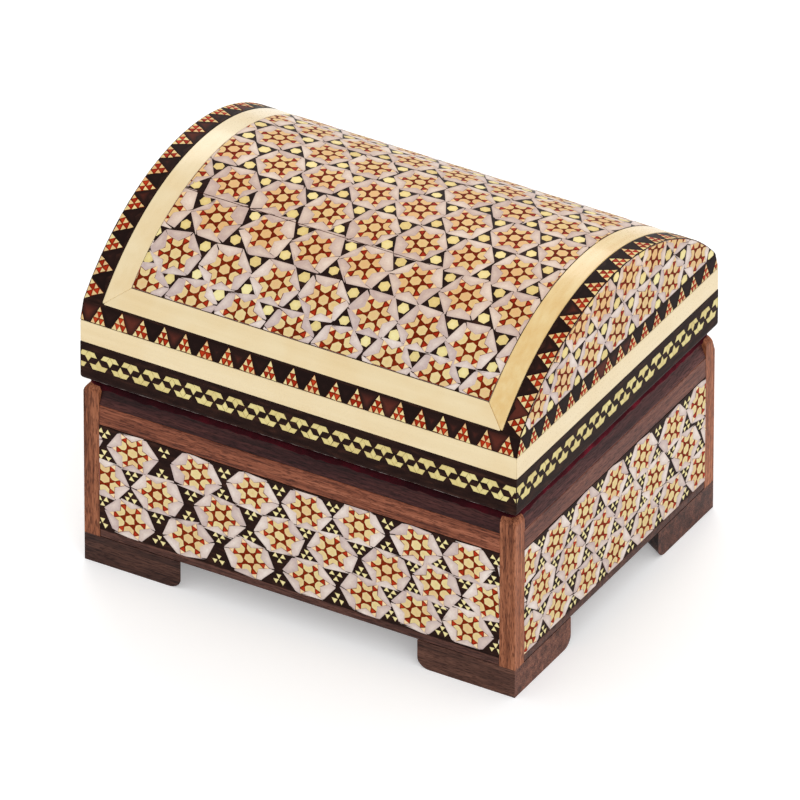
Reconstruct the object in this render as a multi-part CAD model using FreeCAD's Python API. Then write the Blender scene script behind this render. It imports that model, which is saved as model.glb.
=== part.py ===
import FreeCAD, Part
import math
import os

from FreeCAD import Vector

# Inlaid wooden box with a vaulted lid on two butt hinges. Millimetres, +Z up, front face towards -Y.
# The origin is on the table, under the middle of the case.

# Case
case_length = 100.0
case_width = 80.4
post_size = 3.6
facing_thickness = 1.6
wall_thickness = 4.0
foot_height = 6.5
foot_length = 22.5
foot_depth = 8.0
foot_end_slope = 0.63
foot_edge_radius = 2.4
floor_thickness = 1.9
panel_height = 24.9
rail_height = 4.7
rim_height = 4.3
rim_lean = 1.6
post_top_radius = 2.0

# Velvet
velvet_thickness = 0.6
rim_velvet_setback = 0.2
velvet_fold_inset = 1.0
pad_thickness = 1.0
lid_lining_setback = 0.4

# Lid
seam_gap = 0.9
lid_overhang = 0.4
lid_facing_thickness = 1.4
lid_wall_thickness = 4.6
chain_band_height = 9.1
chain_band_edge_radius = 1.3
cream_strip_height = 5.1
triangle_band_height = 4.2
triangle_band_lean = 1.3
dome_rise = 17.9
dome_shell_thickness = 2.4
dome_facing_thickness = 0.8
arch_band_width = 4.2
arch_border_width = 5.0
dome_border_width = 5.1

# Hinges
hinge_spacing = 50.0
hinge_length = 12.0
hinge_setback = 1.4
knuckle_radius = 1.1
knuckle_gap = 0.1
knuckle_recess = 0.2
leaf_width = 3.6
leaf_thickness = 0.5
pin_radius = 0.5
pin_clearance = 0.04
brad_spacing = 7.0
brad_edge_distance = 1.3
brad_radius = 0.4
brad_length = 3.0
brad_head_radius = 0.75
brad_head_thickness = 0.25

# Levels, from the table up
floor_z = foot_height
case_z = floor_z + floor_thickness
panel_z = case_z + panel_height
rail_z = panel_z + rail_height
rim_z = rail_z + rim_height
lid_z = rim_z + seam_gap
chain_z = lid_z + chain_band_height
cream_z = chain_z + cream_strip_height
spring_z = cream_z + triangle_band_height
crown_z = spring_z + dome_rise

# Half sizes of the case, from its outside in
half_length = case_length / 2
half_width = case_width / 2
wall_x = half_length - facing_thickness
wall_y = half_width - facing_thickness
room_x = wall_x - wall_thickness
room_y = wall_y - wall_thickness

# Half sizes of the lid, from its outside in
lid_x = half_length + lid_overhang
lid_y = half_width + lid_overhang
lid_core_x = lid_x - lid_facing_thickness
lid_core_y = lid_y - lid_facing_thickness
lid_room_x = lid_core_x - lid_wall_thickness
lid_room_y = lid_core_y - lid_wall_thickness

# Vault: one arc through the springing on both sides and the crown
dome_half_span = lid_y - triangle_band_lean
dome_radius = (dome_rise**2 + dome_half_span**2) / (2 * dome_rise)
dome_centre_z = crown_z - dome_radius
shell_outer_radius = dome_radius - dome_facing_thickness
shell_inner_radius = shell_outer_radius - dome_shell_thickness
dome_border_angle = math.asin(dome_half_span / dome_radius) - dome_border_width / dome_radius
border_outer_x = lid_x - arch_band_width
border_inner_x = border_outer_x - arch_border_width
border_inner_y = dome_radius * math.sin(dome_border_angle)

# Hinge axis, in the seam just inside the back face
hinge_y = half_width - hinge_setback
hinge_z = rim_z + seam_gap / 2
hinge_places = {"left": -hinge_spacing / 2, "right": hinge_spacing / 2}
knuckle_length = (hinge_length - 2 * knuckle_gap) / 3

# Each side is drawn as a front, then turned about Z by as many quarters as its place in this list
SIDES = ("front", "right", "back", "left")
LONG_SIDES = ("front", "back")
corners = {
    "front_left": (-1, -1),
    "front_right": (1, -1),
    "back_left": (-1, 1),
    "back_right": (1, 1),
}

TOUCH = 1e-3
ORIGIN = Vector(0, 0, 0)
X_AXIS = Vector(1, 0, 0)
Y_AXIS = Vector(0, 1, 0)
Z_AXIS = Vector(0, 0, 1)


def block(x0, x1, y0, y1, z0, z1):
    return Part.makeBox(x1 - x0, y1 - y0, z1 - z0, Vector(x0, y0, z0))


def turned(shape, side):
    """A shape drawn at the front, turned to another side."""
    result = shape.copy()
    result.rotate(ORIGIN, Z_AXIS, SIDES.index(side) * 360 / len(SIDES))
    return result


def case_half_sizes(side):
    """Half of the case along a side, and from its middle to that side."""
    return (half_length, half_width) if side in LONG_SIDES else (half_width, half_length)


def lid_half_sizes(side):
    return (lid_x, lid_y) if side in LONG_SIDES else (lid_y, lid_x)


def at_corner(shape, sign_x, sign_y):
    """A shape drawn at the front left corner, mirrored to another corner."""
    result = shape.copy()
    if sign_x > 0:
        result = result.mirror(ORIGIN, X_AXIS)
    if sign_y > 0:
        result = result.mirror(ORIGIN, Y_AXIS)
    return result


def prism(points, direction):
    return Part.Face(Part.makePolygon(points + points[:1])).extrude(direction)


def hexahedron(bottom, top):
    """A solid with flat faces between two rings of four points."""
    rings = [bottom[::-1], top]
    sides = [[bottom[i - 1], bottom[i], top[i], top[i - 1]] for i in range(4)]
    faces = [Part.Face(Part.makePolygon(ring + ring[:1])) for ring in rings + sides]
    return Part.Solid(Part.makeShell(faces))


def rod(radius, x0, x1):
    """A cylinder along the hinge axis."""
    return Part.makeCylinder(radius, x1 - x0, Vector(x0, hinge_y, hinge_z), X_AXIS)


def vault_cylinder(radius, x0, x1):
    return Part.makeCylinder(radius, x1 - x0, Vector(x0, 0, dome_centre_z), X_AXIS)


def vault_layer(inner_radius, outer_radius, x0, x1):
    """The part of a tube above the springing."""
    tube = vault_cylinder(outer_radius, x0, x1).cut(vault_cylinder(inner_radius, x0, x1))
    return tube.common(block(x0, x1, -lid_y, lid_y, spring_z, crown_z + dome_facing_thickness))


def vaulted_room(half_x, half_y, radius, z0):
    """A straight-sided space with a vaulted top."""
    room = block(-half_x, half_x, -half_y, half_y, z0, crown_z)
    return room.common(vault_cylinder(radius, -half_x, half_x))


def plan_prism(plan):
    points = [Vector(x, y, spring_z) for x, y in plan]
    return prism(points, Vector(0, 0, dome_rise + dome_facing_thickness))


def case_strip(along, across, thickness, z0, z1):
    """An upright board on the front of the case."""
    return block(-along, along, -across, -across + thickness, z0, z1)


def case_wall(side):
    along, across = case_half_sizes(side)
    core_y = across - facing_thickness
    core_along = along - facing_thickness
    if side not in LONG_SIDES:
        core_along = core_along - wall_thickness
    wall = case_strip(core_along, core_y, wall_thickness, case_z, rim_z)
    rim_along = along - post_size
    rim_points = [
        Vector(-rim_along, -core_y, rail_z),
        Vector(-rim_along, -across, rail_z),
        Vector(-rim_along, -across + rim_lean, rim_z),
        Vector(-rim_along, -core_y, rim_z),
    ]
    if abs(rim_lean - facing_thickness) < TOUCH:
        rim_points.pop()
    wall = wall.fuse(prism(rim_points, Vector(2 * rim_along, 0, 0)))
    if side in LONG_SIDES:
        for sign in (-1, 1):
            x0, x1 = sorted((sign * rim_along, sign * along))
            wall = wall.cut(block(x0, x1, -across, -across + post_size, case_z, rim_z))
    return turned(wall.removeSplitter(), side)


def corner_post():
    """A square post whose top is rounded towards the two outer faces."""
    x0 = -half_length
    y0 = -half_width
    post = block(x0, x0 + post_size, y0, y0 + post_size, floor_z, rim_z)
    outer_edges = []
    for edge in post.Edges:
        middle = edge.CenterOfMass
        on_face = min(abs(middle.x - x0), abs(middle.y - y0)) < TOUCH
        if on_face and abs(middle.z - rim_z) < TOUCH:
            outer_edges.append(edge)
    return post.makeFillet(post_top_radius, outer_edges)


def swing_room():
    """The wedge behind the back rim that the lid's lower edge turns through."""
    points = [
        Vector(-half_length, half_width, rail_z),
        Vector(-half_length, half_width, rim_z),
        Vector(-half_length, half_width - rim_lean, rim_z),
    ]
    return prism(points, Vector(case_length, 0, 0))


def edge_rounding(start, end, radius, inward):
    """What a round takes off a level lower edge that runs from start to end."""
    rise = Vector(0, 0, radius)
    side = inward * radius
    bulge = (side + rise) * (1 - math.sqrt(0.5))
    wire = Part.Wire(
        [
            Part.LineSegment(start, start + side).toShape(),
            Part.Arc(start + side, start + bulge, start + rise).toShape(),
            Part.LineSegment(start + rise, start).toShape(),
        ]
    )
    return Part.Face(wire).extrude(end - start)


def corner_foot():
    """A bent block whose two ends slant inwards, with its lower end edges rounded."""
    inner = foot_length - foot_depth * foot_end_slope
    plan = [(0, 0), (foot_length, 0), (inner, foot_depth), (foot_depth, inner), (0, foot_length)]
    points = [Vector(x - half_length, y - half_width, 0) for x, y in plan]
    foot = prism(points, Vector(0, 0, foot_height))
    for outer, along in ((points[1], points[2]), (points[4], points[3])):
        run = along - outer
        inward = run.cross(Z_AXIS).normalize()
        if inward.dot(points[0] - outer) < 0:
            inward = -inward
        foot = foot.cut(edge_rounding(outer, along + run, foot_edge_radius, inward))
    return foot.removeSplitter()


def floor_board():
    board = block(-half_length, half_length, -half_width, half_width, floor_z, case_z)
    notch = block(
        -half_length, -half_length + post_size, -half_width, -half_width + post_size, floor_z, case_z
    )
    for sign_x, sign_y in corners.values():
        board = board.cut(at_corner(notch, sign_x, sign_y))
    return board


def base_lining(wood):
    """Velvet on the inside of the walls, folded outwards over the rim of the given wooden pieces."""
    fold_x = half_length - velvet_fold_inset
    fold_y = half_width - velvet_fold_inset
    back_y = wall_y - rim_velvet_setback
    top = rim_z + velvet_thickness
    fold = block(-fold_x, fold_x, -fold_y, back_y, rail_z, top)
    for piece in wood:
        fold = fold.cut(piece)
    sleeve = block(-room_x, room_x, -room_y, room_y, case_z, rim_z)
    clear_x = room_x - velvet_thickness
    clear_y = room_y - velvet_thickness
    lining = sleeve.fuse(fold).cut(block(-clear_x, clear_x, -clear_y, clear_y, case_z, top))
    for x in hinge_places.values():
        reach = hinge_length / 2 + knuckle_recess
        inner_y = hinge_y - leaf_width - knuckle_recess
        lining = lining.cut(block(x - reach, x + reach, inner_y, half_width, rim_z - leaf_thickness, top))
    return lining.removeSplitter()


def lid_rail(side):
    """Front or back rail of the lid, leaning in behind the triangle band."""
    room = -lid_room_y
    points = [
        Vector(-lid_core_x, room, lid_z),
        Vector(-lid_core_x, -lid_core_y, lid_z),
        Vector(-lid_core_x, -lid_core_y, cream_z),
        Vector(-lid_core_x, -lid_core_y + triangle_band_lean, spring_z),
        Vector(-lid_core_x, room, spring_z),
    ]
    return turned(prism(points, Vector(2 * lid_core_x, 0, 0)), side)


def lid_end(sign):
    """End board of the lid, between the rails and under the vault."""
    board = vaulted_room(lid_core_x, lid_room_y, shell_inner_radius, lid_z)
    x0, x1 = sorted((sign * lid_room_x, sign * lid_core_x))
    return board.common(block(x0, x1, -lid_room_y, lid_room_y, lid_z, crown_z))


def lid_band(side, z0, z1, lean=0, edge_radius=0):
    """A facing strip on one side of the lid, mitred at the corners. Its lower edge may be rounded."""
    along, across = lid_half_sizes(side)
    lean_along = 0 if side in LONG_SIDES else lean
    lean_across = lean if side in LONG_SIDES else 0
    t = lid_facing_thickness
    rings = []
    for z, a, c in ((z0, along, across), (z1, along - lean_along, across - lean_across)):
        ring = [(-a, -c), (a, -c), (a - t, t - c), (t - a, t - c)]
        rings.append([Vector(x, y, z) for x, y in ring])
    band = hexahedron(*rings)
    if edge_radius:
        lower = Vector(0, -across, z0)
        edges = [e for e in band.Edges if (e.CenterOfMass - lower).Length < TOUCH]
        band = band.makeFillet(edge_radius, edges)
    return turned(band, side)


def dome_facing(plan):
    layer = vault_layer(shell_outer_radius, dome_radius, -lid_x, lid_x)
    return layer.common(plan_prism(plan))


def dome_border(side):
    """One cream strip of the dome's frame, mitred in plan."""
    ox, ix = border_outer_x, border_inner_x
    oy, iy = dome_half_span, border_inner_y
    plans = {
        "front": [(-ox, -oy), (ox, -oy), (ix, -iy), (-ix, -iy)],
        "right": [(ox, -oy), (ox, oy), (ix, iy), (ix, -iy)],
        "back": [(ox, oy), (-ox, oy), (-ix, iy), (ix, iy)],
        "left": [(-ox, oy), (-ox, -oy), (-ix, -iy), (-ix, iy)],
    }
    return dome_facing(plans[side])


def arch_band(sign):
    x0, x1 = sorted((sign * border_outer_x, sign * lid_x))
    return vault_layer(shell_outer_radius, dome_radius, x0, x1)


def dome_inlay():
    ix, iy = border_inner_x, border_inner_y
    return dome_facing([(-ix, -iy), (ix, -iy), (ix, iy), (-ix, iy)])


def tympanum(sign):
    x0, x1 = sorted((sign * lid_core_x, sign * lid_x))
    disc = vault_cylinder(shell_outer_radius, x0, x1)
    return disc.common(block(x0, x1, -lid_y, lid_y, spring_z, crown_z))


def lid_lining():
    z0 = lid_z + lid_lining_setback
    outer = vaulted_room(lid_room_x, lid_room_y, shell_inner_radius, z0)
    clear_x = lid_room_x - velvet_thickness
    clear_y = lid_room_y - velvet_thickness
    inner = vaulted_room(clear_x, clear_y, shell_inner_radius - velvet_thickness, z0)
    return outer.cut(inner)


def brad(x, z_face, direction):
    """A short nail with a flat head, flush with the face of its leaf."""
    start = Vector(x, hinge_y - leaf_width + brad_edge_distance, z_face)
    way = Vector(0, 0, direction)
    head = Part.makeCylinder(brad_head_radius, brad_head_thickness, start, way)
    return head.fuse(Part.makeCylinder(brad_radius, brad_length, start, way)).removeSplitter()


def brads(z_face, direction):
    offsets = (-brad_spacing / 2, brad_spacing / 2)
    return [brad(x + dx, z_face, direction) for x in hinge_places.values() for dx in offsets]


def leaf_plate(x, z_face, direction):
    z0, z1 = sorted((z_face, z_face + direction * leaf_thickness))
    return block(x - hinge_length / 2, x + hinge_length / 2, hinge_y - leaf_width, hinge_y, z0, z1)


def knuckle_spans(x):
    """The three knuckles' ranges along X: the middle one belongs to the lid."""
    step = knuckle_length + knuckle_gap
    starts = [x - hinge_length / 2 + i * step for i in range(3)]
    return [(start, start + knuckle_length) for start in starts]


def hinge_leaf(x, z_face, direction, own, others, nails):
    """A plate with its own knuckles on the axis, cut clear of the other leaf's knuckles."""
    leaf = leaf_plate(x, z_face, direction)
    for i in own:
        leaf = leaf.fuse(rod(knuckle_radius, *knuckle_spans(x)[i]))
    for i in others:
        x0, x1 = knuckle_spans(x)[i]
        leaf = leaf.cut(rod(knuckle_radius + knuckle_recess, x0 - knuckle_gap, x1 + knuckle_gap))
    leaf = leaf.cut(rod(pin_radius + pin_clearance, x - hinge_length, x + hinge_length))
    for nail in nails:
        leaf = leaf.cut(nail)
    return leaf.removeSplitter()


def knuckle_room(x):
    reach = hinge_length / 2 + knuckle_recess
    return rod(knuckle_radius + knuckle_recess, x - reach, x + reach)


def hinge_seat(shape, z_face, direction, nails):
    """A wall or rail with its leaves let in, its knuckle grooves and its nail holes."""
    for x in hinge_places.values():
        shape = shape.cut(leaf_plate(x, z_face, direction)).cut(knuckle_room(x))
    for nail in nails:
        shape = shape.cut(nail)
    return shape


DOWN = -1
UP = 1
base_nails = brads(rim_z, DOWN)
lid_nails = brads(lid_z, UP)
parts = {}

# Case
for side in SIDES:
    along, across = case_half_sizes(side)
    span = along - post_size
    parts[side + "_wall"] = case_wall(side)
    panel = case_strip(span, across, facing_thickness, case_z, panel_z)
    rail = case_strip(span, across, facing_thickness, panel_z, rail_z)
    parts["inlay_panel_" + side] = turned(panel, side)
    parts["case_rail_" + side] = turned(rail, side)
for corner, signs in corners.items():
    post = at_corner(corner_post(), *signs)
    parts["post_" + corner] = post.cut(swing_room()) if corner.startswith("back") else post
    parts["foot_" + corner] = at_corner(corner_foot(), *signs)
wood_at_rim = [parts[side + "_wall"] for side in SIDES] + [parts["post_" + corner] for corner in corners]
parts["base_lining"] = base_lining(wood_at_rim)
parts["back_wall"] = hinge_seat(parts["back_wall"], rim_z, DOWN, base_nails)
parts["floor_board"] = floor_board()
pad_x = room_x - velvet_thickness
pad_y = room_y - velvet_thickness
parts["floor_pad"] = block(-pad_x, pad_x, -pad_y, pad_y, case_z, case_z + pad_thickness)

# Lid
for side in SIDES:
    parts["chain_band_" + side] = lid_band(side, lid_z, chain_z, edge_radius=chain_band_edge_radius)
    parts["cream_strip_" + side] = lid_band(side, chain_z, cream_z)
    parts["triangle_band_" + side] = lid_band(side, cream_z, spring_z, lean=triangle_band_lean)
    parts["dome_border_" + side] = dome_border(side)
for side in LONG_SIDES:
    parts["lid_rail_" + side] = lid_rail(side)
for name, sign in (("left", -1), ("right", 1)):
    parts["lid_end_" + name] = lid_end(sign)
    parts["arch_band_" + name] = arch_band(sign)
    parts["tympanum_" + name] = tympanum(sign)
parts["lid_rail_back"] = hinge_seat(parts["lid_rail_back"], lid_z, UP, lid_nails)
for x in hinge_places.values():
    parts["chain_band_back"] = parts["chain_band_back"].cut(knuckle_room(x))
parts["dome_shell"] = vault_layer(shell_inner_radius, shell_outer_radius, -lid_core_x, lid_core_x)
parts["dome_inlay"] = dome_inlay()
parts["lid_lining"] = lid_lining()

# Hinges
for name, x in hinge_places.items():
    parts["hinge_base_leaf_" + name] = hinge_leaf(x, rim_z, DOWN, (0, 2), (1,), base_nails)
    parts["hinge_lid_leaf_" + name] = hinge_leaf(x, lid_z, UP, (1,), (0, 2), lid_nails)
    parts["hinge_pin_" + name] = rod(pin_radius, x - hinge_length / 2, x + hinge_length / 2)
parts["base_hinge_brads"] = Part.makeCompound(base_nails)
parts["lid_hinge_brads"] = Part.makeCompound(lid_nails)

os.makedirs("parts", exist_ok=True)
for name, shape in parts.items():
    shape.exportStep("parts/" + name + ".step")
print(len(parts), "pieces")
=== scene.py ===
import math
import random

import bmesh
import bpy
from mathutils import Matrix, Vector, noise


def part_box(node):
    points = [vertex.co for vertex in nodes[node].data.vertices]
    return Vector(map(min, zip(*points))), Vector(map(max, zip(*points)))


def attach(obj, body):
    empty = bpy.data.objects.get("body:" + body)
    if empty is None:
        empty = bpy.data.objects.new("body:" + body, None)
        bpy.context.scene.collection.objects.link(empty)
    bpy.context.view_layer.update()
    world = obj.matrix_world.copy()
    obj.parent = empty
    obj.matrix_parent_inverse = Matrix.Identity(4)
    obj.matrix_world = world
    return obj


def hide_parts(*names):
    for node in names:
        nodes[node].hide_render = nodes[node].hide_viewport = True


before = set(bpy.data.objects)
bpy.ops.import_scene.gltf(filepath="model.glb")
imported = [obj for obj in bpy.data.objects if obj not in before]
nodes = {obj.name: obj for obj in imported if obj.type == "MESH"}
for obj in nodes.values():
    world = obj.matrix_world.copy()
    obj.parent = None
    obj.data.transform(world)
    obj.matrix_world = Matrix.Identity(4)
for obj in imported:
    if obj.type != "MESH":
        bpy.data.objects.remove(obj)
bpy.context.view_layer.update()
scene = bpy.context.scene

# All sizes below are in millimetres, in the frame's axes: X along the box, Y to its back, Z up.
MM = 0.001
SIDES = ("front", "right", "back", "left")
LONG_SIDES = ("front", "back")
CORNERS = ("front_left", "front_right", "back_left", "back_right")
SQRT3 = math.sqrt(3)

# Tesserae: the seams round them, how far they stand proud and how deep they are set.
SEAM = 0.05
GOLD_SEAM = 0.15
PROUD = 0.03
SINK = 0.06
SHELL_LIFT = 0.006
TESSERA_LIFT = 0.012
CURVE_STEP = 1.5
PETAL_OVERLAP = 0.1
PETAL_BULGE = 0.13
# Painted highlight and shade: how much darker they are painted at their edges than in the middle, so that
# they look rounded; gold is painted paler at its edges.
PAINTED_EDGE_SHADE = {"gold": -0.15}
PLAIN_PAINTED_EDGE_SHADE = 0.25
# How far the corners of hand-cut pieces stray, and how unevenly they stand.
STRAY = {
    "gold": 0.13, "red": 0.09, "tip": 0.09, "bead": 0.09,
    "shell": 0.13, "brass": 0.05, "bed": 0.0, "dark": 0.0,
}
UNEVEN = 0.002

# The two kinds of star: reach and flattening, how far the hexagon may reach along the row and between rows,
# the short edges where hexagons meet, how unevenly star and hexagon are turned, the tones of star and slips,
# the gap of the slips at corners, and between which places across the rows the brass yellows, and how much.
PANEL_STAR = {
    "reach": 4.9, "squeeze": 0.96, "row_reach": 6.0, "row_edge": 0.6, "far": 5.9, "edge": 0.9, "turn": 4.0,
    "twist": (-13, 13), "tones": (0.3, 0.75), "shell": (0.2, 0.8), "gap": 0.35, "yellowed": (0, 1, 0.0),
}
VAULT_STAR = {
    "reach": 4.9, "squeeze": 1.0, "row_reach": 6.2, "row_edge": 0.8, "far": 6.8, "edge": 0.8, "turn": 4.0,
    "twist": (0, 9), "tones": (0.2, 0.65), "shell": (0.1, 0.72), "gap": 0.12, "yellowed": (-32, -16, 0.22),
}
# How far stars stray, how far their hexagons bend at most, and by how much these are larger at least.
STAR_STRAY = 0.25
MOST_BENT = math.radians(16)
LEAST_MARGIN = 0.1

# Star rows, measured on the photo: height, then the centres of the stars along the row.
FRONT_STARS = (
    (29.0, (-38.8, -23.8, -10.7, 1.7, 14.3, 26.9, 39.1)),
    (20.8, (-44.9, -32.7, -18.2, -4.4, 7.8, 20.7, 31.9, 44.2)),
    (12.9, (-39.4, -25.6, -11.7, 2.3, 15.8, 27.1, 39.1)),
)
END_STARS = (
    (28.8, (-35.8, -24.1, -12.3, -0.5, 11.2, 23.3, 34.5)),
    (20.7, (-29.9, -18.2, -6.1, 5.3, 16.2, 28.9)),
    (12.4, (-34.8, -22.9, -10.8, 0.4, 12.1, 22.7, 34.4)),
)
# Rows on the vault: place along the arc from the crown, first full star, pitch of the row.
VAULT_STARS = (
    (-38.2, -39.3, 11.3),
    (-29.8, -35.2, 11.37),
    (-19.8, -31.4, 11.5),
    (-9.9, -32.4, 10.85),
    (-0.4, -38.3, 10.85),
    (9.3, -33.3, 10.95),
    (19.2, -30.0, 11.05),
    (28.9, -35.4, 11.3),
    (38.4, -40.8, 11.3),
)
# Rows on the arched ends: height, first full star, pitch.
TYMPANUM_STARS = ((65.6, -32.6, 10.75), (75.2, -16.4, 10.2))
TYMPANUM_EDGE = 0.1
TYMPANUM_STEPS = 28
# The open joint across the vault: its end, then its two edges where it starts and where it ends.
JOINT_END = 15.5
JOINT_EDGES = ((-15.05, -14.9), (-14.95, -14.83))
# Three small brass triangles in the black ones between stars.
CLUSTER_SIDE = 1.34
CLUSTER_PLACES = ((-0.82, 0.38), (0.82, 0.38), (0, -0.84))


def size(node):
    """The lowest and highest corner of a CAD node, in millimetres."""
    low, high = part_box(node)
    return low / MM, high / MM


# Levels and half sizes, read from the frame.
panel_low, panel_high = size("inlay_panel_front")
end_panel_high = size("inlay_panel_right")[1]
chain_low, chain_high = size("chain_band_front")
triangle_low, triangle_high = size("triangle_band_front")
arch_low, arch_high = size("arch_band_right")
vault_high = size("dome_inlay")[1]
shell_high = size("dome_shell")[1]
rail_high = size("case_rail_front")[1]
rim_top = size("front_wall")[1].z
case_floor, lining_back = size("base_lining")[0].z, size("base_lining")[1].y
lid_lining_low, lid_lining_high = size("lid_lining")
room_x, room_y = lid_lining_high.x, lid_lining_high.y
case_half_length = end_panel_high.x
case_half_width = -panel_low.y
lid_half_length = chain_high.x
lid_half_width = -chain_low.y
springing = triangle_high.z
vault_half_span = arch_high.y
vault_rise = vault_high.z - springing
vault_radius = (vault_half_span ** 2 + vault_rise ** 2) / (2 * vault_rise)
vault_centre = vault_high.z - vault_radius
vault_half_arc = vault_radius * math.asin(vault_half_span / vault_radius)
field_half_arc = vault_radius * math.asin(vault_high.y / vault_radius)
band_lean = math.atan2(lid_half_width - vault_half_span, springing - triangle_low.z)


# Colours and node trees

WHITE = (1, 1, 1, 1)
BLACK = (0, 0, 0, 1)
EVEN = (1, 1, 1)


def linear(red, green, blue):
    """A colour in sRGB numbers up to 255, made linear."""
    channels = []
    for value in (red, green, blue):
        value /= 255
        channels.append(value / 12.92 if value <= 0.04045 else ((value + 0.055) / 1.055) ** 2.4)
    return (*channels, 1.0)


def fill_in(node, values):
    """Sets inputs; underscores stand for spaces in their names."""
    for name, value in values.items():
        node.inputs[name.replace("_", " ")].default_value = value


class Tree:
    """A node tree, with short calls for common nodes."""

    def __init__(self, tree):
        self.tree = tree

    def add(self, kind, **values):
        node = self.tree.nodes.new(kind)
        fill_in(node, values)
        return node

    def link(self, source, node, name):
        self.tree.links.new(source, node.inputs[name])

    def feed(self, node, *sockets):
        for place, value in sockets:
            if isinstance(value, (int, float, tuple)):
                node.inputs[place].default_value = value
            else:
                self.link(value, node, place)

    def axis(self, vector, name):
        split = self.add("ShaderNodeSeparateXYZ")
        self.link(vector, split, "Vector")
        return split.outputs[name]

    def noise(self, vector, scale, detail=3.0, roughness=0.55, distortion=0.0):
        values = {"Scale": scale, "Detail": detail, "Roughness": roughness, "Distortion": distortion}
        node = self.add("ShaderNodeTexNoise", **values)
        self.link(vector, node, "Vector")
        return node.outputs["Fac"]

    def tone(self):
        node = self.add("ShaderNodeAttribute")
        node.attribute_name = "tone"
        return node.outputs["Fac"]

    def math(self, operation, first, second):
        node = self.add("ShaderNodeMath")
        node.operation = operation
        self.feed(node, (0, first), (1, second))
        return node.outputs["Value"]

    def ramp(self, factor, *stops):
        """Colours along a factor; a stop is a place and a colour, of three sRGB or four linear numbers."""
        node = self.add("ShaderNodeValToRGB")
        elements = node.color_ramp.elements
        while len(elements) < len(stops):
            elements.new(0.5)
        for element, (place, colour) in zip(elements, stops):
            element.position = place
            element.color = linear(*colour) if len(colour) == 3 else colour
        self.link(factor, node, "Fac")
        return node.outputs["Color"]

    def mix(self, factor, first, second, blend="MIX"):
        node = self.add("ShaderNodeMix")
        node.data_type = "RGBA"
        node.blend_type = blend
        self.feed(node, (0, factor), (6, first), (7, second))
        return node.outputs[2]

    def range(self, value, low, high):
        """A factor from 0 to 1 spread from low to high."""
        node = self.add("ShaderNodeMapRange", To_Min=low, To_Max=high)
        self.link(value, node, "Value")
        return node.outputs["Result"]

    def seeing_rays(self):
        """1 for rays that see the surroundings, also mirrored or through glass, 0 for the others."""
        path = self.add("ShaderNodeLightPath").outputs
        straight_or_mirrored = self.math("MAXIMUM", path["Is Camera Ray"], path["Is Glossy Ray"])
        return self.math("MAXIMUM", straight_or_mirrored, path["Is Transmission Ray"])


class Look(Tree):
    """One material."""

    def __init__(self, name, roughness=0.5, specular=0.5, metallic=0.0):
        self.material = bpy.data.materials.new(name)
        self.material.use_nodes = True
        super().__init__(self.material.node_tree)
        self.shader = self.tree.nodes["Principled BSDF"]
        self.set(Roughness=roughness, Specular_IOR_Level=specular, Metallic=metallic)
        self.coordinates = self.add("ShaderNodeTexCoord").outputs["Object"]

    def set(self, **values):
        fill_in(self.shader, values)

    def stretched(self, scale=EVEN, shift=(0, 0, 0)):
        """Object coordinates in millimetres, scaled by axis."""
        mapping = self.add("ShaderNodeMapping", Scale=[axis / MM for axis in scale], Location=shift)
        self.link(self.coordinates, mapping, "Vector")
        return mapping.outputs["Vector"]

    def height(self):
        """Height above the table in millimetres."""
        return self.axis(self.stretched(), "Z")

    def faces_end(self):
        """1 on the faces that look along the box, 0 on the others."""
        along = self.axis(self.add("ShaderNodeTexCoord").outputs["Normal"], "X")
        return self.ramp(self.math("ABSOLUTE", along, 0), (0.6, BLACK), (0.8, WHITE))

    def colour(self, source):
        self.link(source, self.shader, "Base Color")

    def roughness(self, source):
        self.link(source, self.shader, "Roughness")

    def bump(self, height, depth, strength=1.0):
        """Relief of the given depth in millimetres."""
        node = self.add("ShaderNodeBump", Strength=strength, Distance=depth * MM)
        self.link(height, node, "Height")
        self.link(node.outputs["Normal"], self.shader, "Normal")


# Materials

GRAIN = {"x": (0.05, 1, 1), "y": (1, 0.05, 1), "z": (1, 1, 0.05)}
PORES = {"x": (0.11, 1, 1), "y": (1, 0.11, 1), "z": (1, 1, 0.11)}
PORE_TINT = (0.34, 0.28, 0.27, 1)
AMBER_TINT = (0.95, 0.87, 0.74, 1)
PILE_TINT = (0.4, 0.35, 0.35, 1)
GREENISH = (0.9, 0.92, 0.7, 1)
ROSY = (0.88, 0.8, 0.8, 1)
GREYISH = (0.72, 0.7, 0.68, 1)
# The inlay has aged to a warmer colour high on the vault.
AGED_FROM = 69.5
AGED_OVER = 5.5
AGED_TINT = (1.02, 0.94, 0.85, 1)


def wood(name, along, browns, seed, roughness=0.42, ends=None):
    """Lacquered wood: soft figure along one axis, fine dark pores, and where wanted painted light: the faces
    that look along the box painted paler.
    """
    look = Look(name, roughness, specular=0.12)
    shift = (seed * 7.3, seed * 3.1, seed * 5.7)
    grain = look.stretched(GRAIN[along], shift)
    figure = look.noise(grain, 0.55, distortion=0.6)
    streaks = look.noise(grain, 2.6, detail=4, roughness=0.65)
    pores = look.noise(look.stretched(PORES[along], shift), 5.0, detail=2)
    blend = look.math("ADD", look.math("MULTIPLY", figure, 0.55), look.math("MULTIPLY", streaks, 0.45))
    base = look.ramp(blend, *zip((0.37, 0.5, 0.63), browns))
    pore_mask = look.ramp(pores, (0.4, PORE_TINT), (0.5, WHITE))
    colour = look.mix(0.85, base, pore_mask, "MULTIPLY")
    # Painted light: faces that look along the box are made paler by the given factors.
    if ends:
        colour = look.mix(look.faces_end(), colour, look.mix(1.0, colour, ends, "MULTIPLY"))
    look.colour(colour)
    look.roughness(look.range(streaks, roughness - 0.1, roughness + 0.14))
    look.bump(pores, 0.05, 0.6)
    return look.material


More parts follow.
